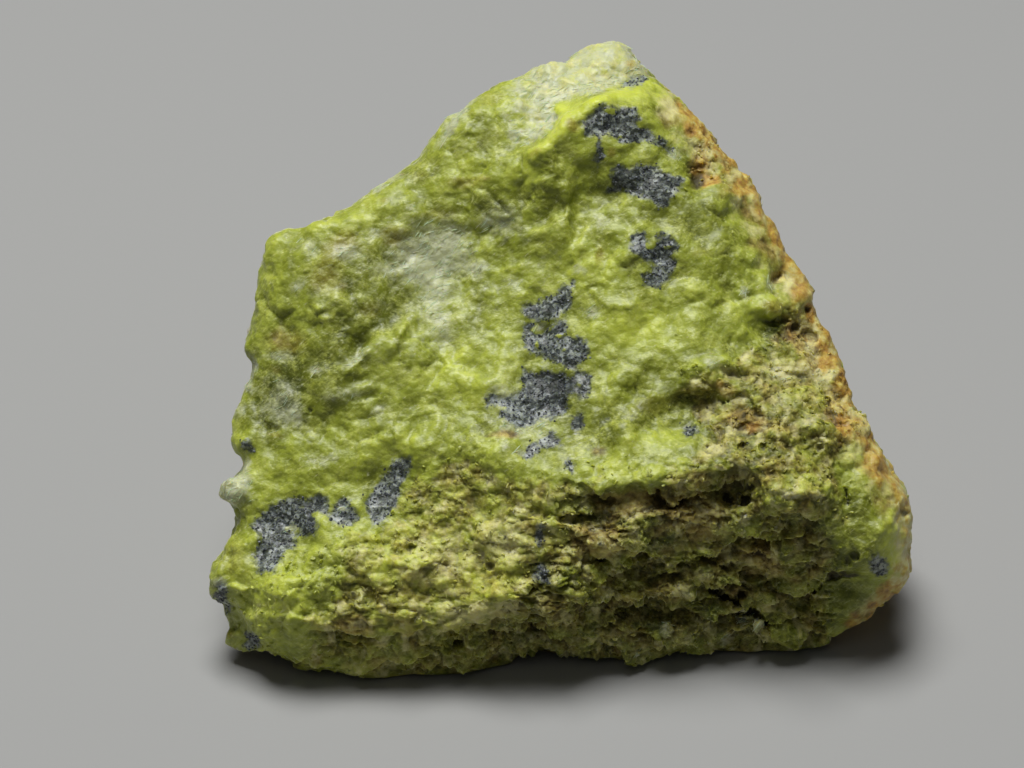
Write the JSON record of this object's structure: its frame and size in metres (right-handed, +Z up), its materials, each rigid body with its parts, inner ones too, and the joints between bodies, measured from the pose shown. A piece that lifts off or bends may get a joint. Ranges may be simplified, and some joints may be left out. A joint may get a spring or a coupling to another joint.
{
  "type": "lizardite specimen",
  "caption": "Rough hand specimen of waxy yellow-green lizardite: a wedge of broken serpentine rock with dark granular patches, for display.",
  "frame": {"origin": "middle of the stone's footprint box, on the ground it stands on", "axes": "+Z up; +X to the right along the stone's longest extent as seen from the front; -Y towards the viewer, the side the broad leaning front faces"},
  "size_m": [0.071, 0.0536, 0.049],
  "materials": {
    "waxy_lizardite": "waxy, slightly translucent at thin edges"
  },
  "bodies": {
    "root": {"lizardite_stone": "waxy_lizardite"}
  },
  "joints": []
}
